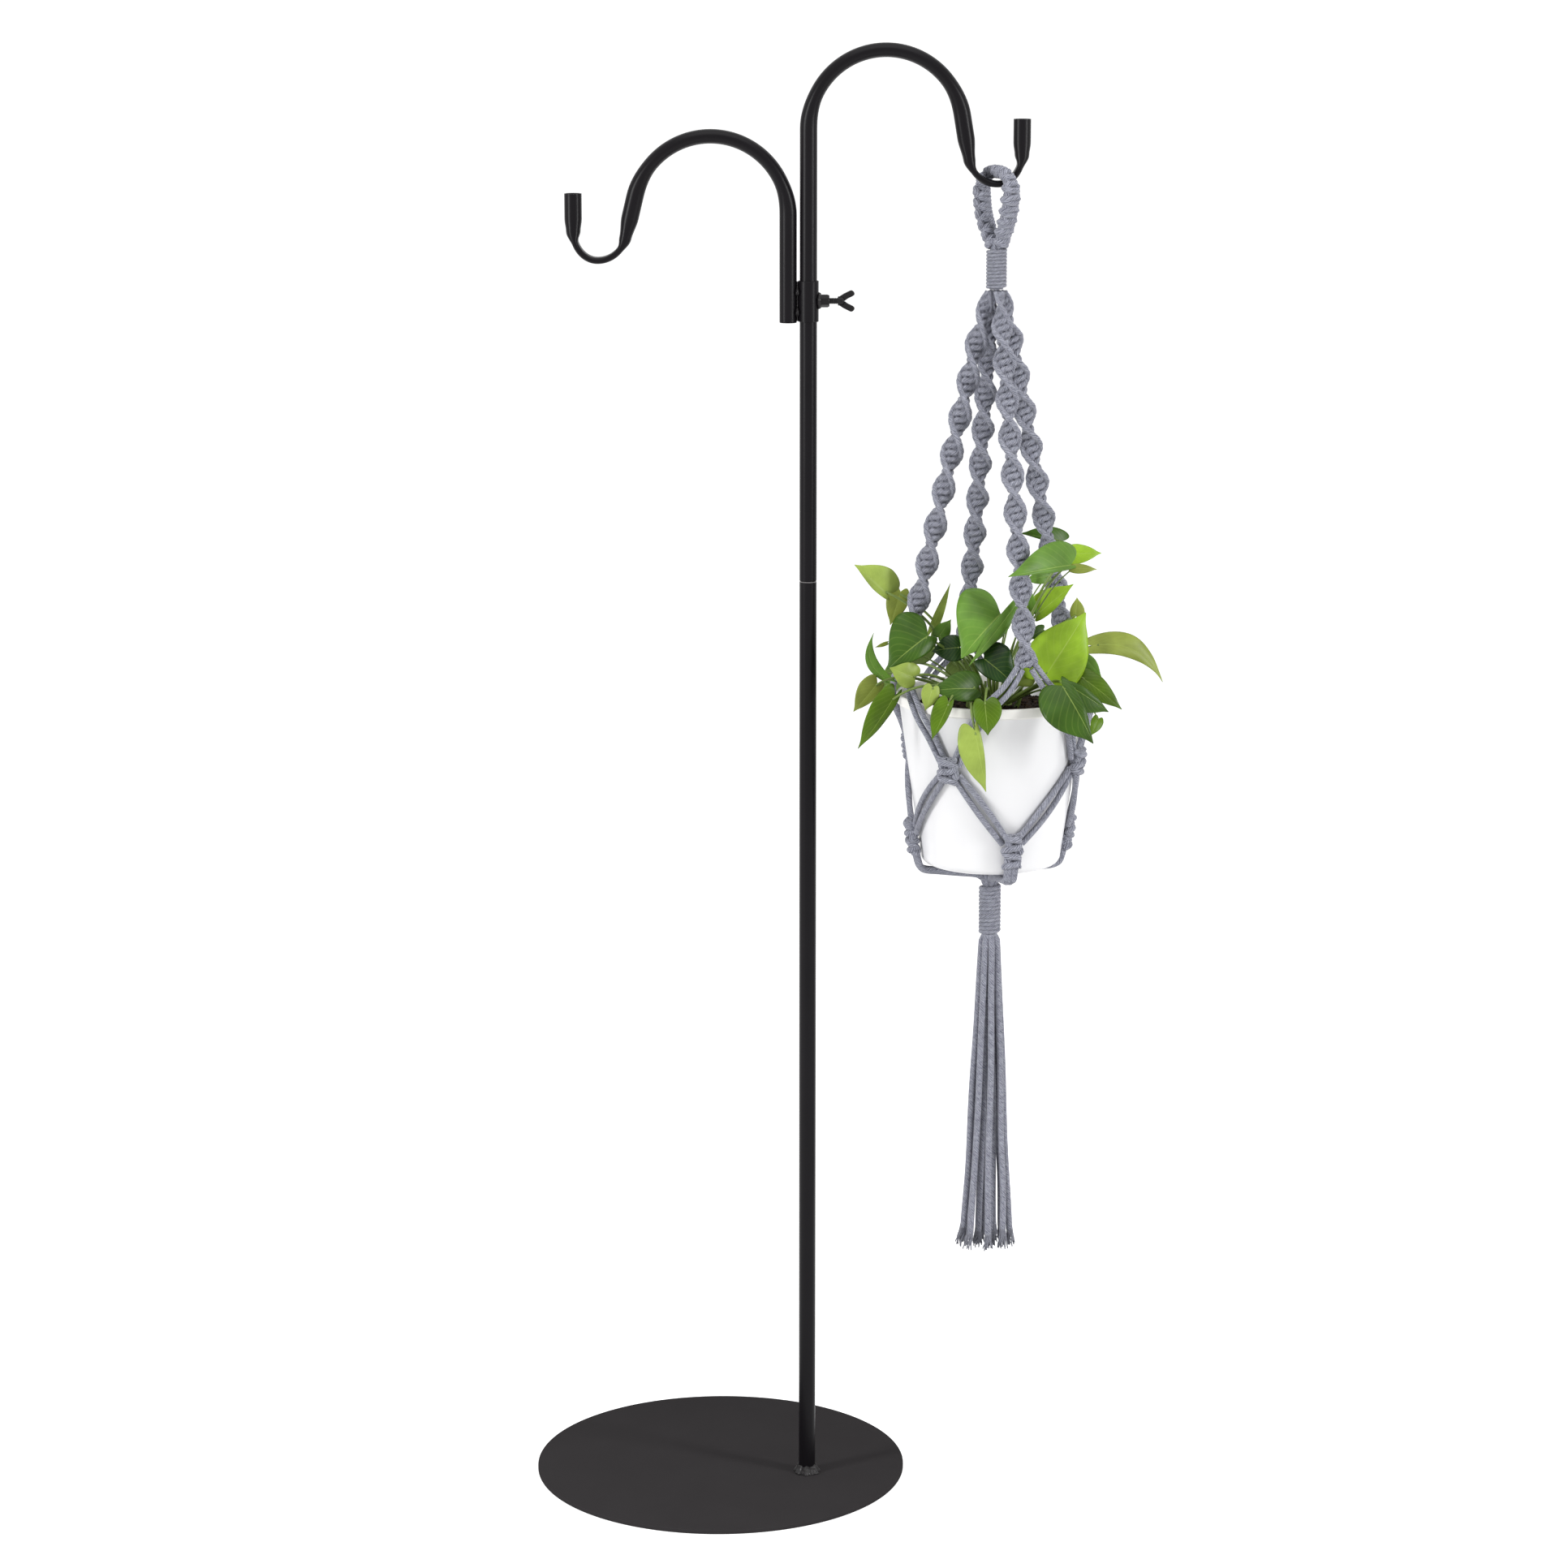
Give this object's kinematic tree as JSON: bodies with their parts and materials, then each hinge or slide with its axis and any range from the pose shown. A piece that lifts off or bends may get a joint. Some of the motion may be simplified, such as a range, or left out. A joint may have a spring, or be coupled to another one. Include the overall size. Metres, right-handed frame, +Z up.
{
  "type": "hanging plant stand",
  "caption": "Free-standing steel hook pole on a round foot, with a sliding side hook and a knotted cord hanger that carries a potted trailing plant.",
  "frame": {"origin": "centre of the round foot's underside, on the floor", "axes": "+Z up along the pole; +X towards the hanging planter; -Y is the front that the picture shows"},
  "size_m": [0.5985, 0.36, 1.3839],
  "materials": {
    "powder_coat": "satin black powder coat on mild steel",
    "black_zinc": "black zinc-plated steel",
    "cotton_cord": "grey-blue twisted cotton cord",
    "pot_plastic": "white moulded plastic, satin gloss",
    "potting_soil": "dark potting soil with bark and fibre",
    "foliage": "waxy green leaves and paler stalks"
  },
  "bodies": {
    "base": {"base_plate": "powder_coat", "foot_weld": "powder_coat", "lower_pole": "powder_coat", "pole_connector": "black_zinc"},
    "upper_pole": {"upper_pole_hook": "powder_coat"},
    "side_arm": {"clamp_collar": "powder_coat", "weld_nut": "black_zinc", "side_arm_hook": "powder_coat", "arm_weld_upper": "powder_coat", "arm_weld_lower": "powder_coat", "nut_weld": "powder_coat"},
    "wing_bolt": {"wing_bolt": "black_zinc"},
    "planter": {"hanging_loop": "cotton_cord", "top_wrap": "cotton_cord", "bottom_wrap": "cotton_cord", "tassel": "cotton_cord", "sennit_front": "cotton_cord", "sennit_right": "cotton_cord", "sennit_back": "cotton_cord", "sennit_left": "cotton_cord", "upper_knot_front_left": "cotton_cord", "upper_cords_front_to_front_left": "cotton_cord", "lower_cords_front_left_to_front": "cotton_cord", "upper_cords_left_to_front_left": "cotton_cord", "lower_cords_front_left_to_left": "cotton_cord", "upper_knot_front_right": "cotton_cord", "upper_cords_front_to_front_right": "cotton_cord", "lower_cords_front_right_to_front": "cotton_cord", "upper_cords_right_to_front_right": "cotton_cord", "lower_cords_front_right_to_right": "cotton_cord", "upper_knot_back_right": "cotton_cord", "upper_cords_right_to_back_right": "cotton_cord", "lower_cords_back_right_to_right": "cotton_cord", "upper_cords_back_to_back_right": "cotton_cord", "lower_cords_back_right_to_back": "cotton_cord", "upper_knot_back_left": "cotton_cord", "upper_cords_back_to_back_left": "cotton_cord", "lower_cords_back_left_to_back": "cotton_cord", "upper_cords_left_to_back_left": "cotton_cord", "lower_cords_back_left_to_left": "cotton_cord", "lower_knot_front": "cotton_cord", "under_cords_front": "cotton_cord", "lower_knot_right": "cotton_cord", "under_cords_right": "cotton_cord", "lower_knot_back": "cotton_cord", "under_cords_back": "cotton_cord", "lower_knot_left": "cotton_cord", "under_cords_left": "cotton_cord", "pot": "pot_plastic", "soil": "potting_soil", "plant": "foliage"}
  },
  "joints": [
    {"name": "upper_pole_turn", "type": "hinge", "parent": "base", "child": "upper_pole", "pos_m": [0.085, -0.03, 0.8875], "axis": [0, 0, 1], "range_deg": [-180, 180]},
    {"name": "side_arm_slide", "type": "slide", "parent": "upper_pole", "child": "side_arm", "axis": [0, 0, 1], "range_m": [-1.11, 0.12]},
    {"name": "wing_bolt_turn", "type": "hinge", "parent": "side_arm", "child": "wing_bolt", "pos_m": [0.085, -0.03, 1.149], "axis": [1, 0, 0], "range_deg": [0, 360]},
    {"name": "planter_swing", "type": "hinge", "parent": "upper_pole", "child": "planter", "pos_m": [0.25829, -0.03, 1.2561], "axis": [1, 0, 0], "range_deg": [-20, 20]}
  ]
}
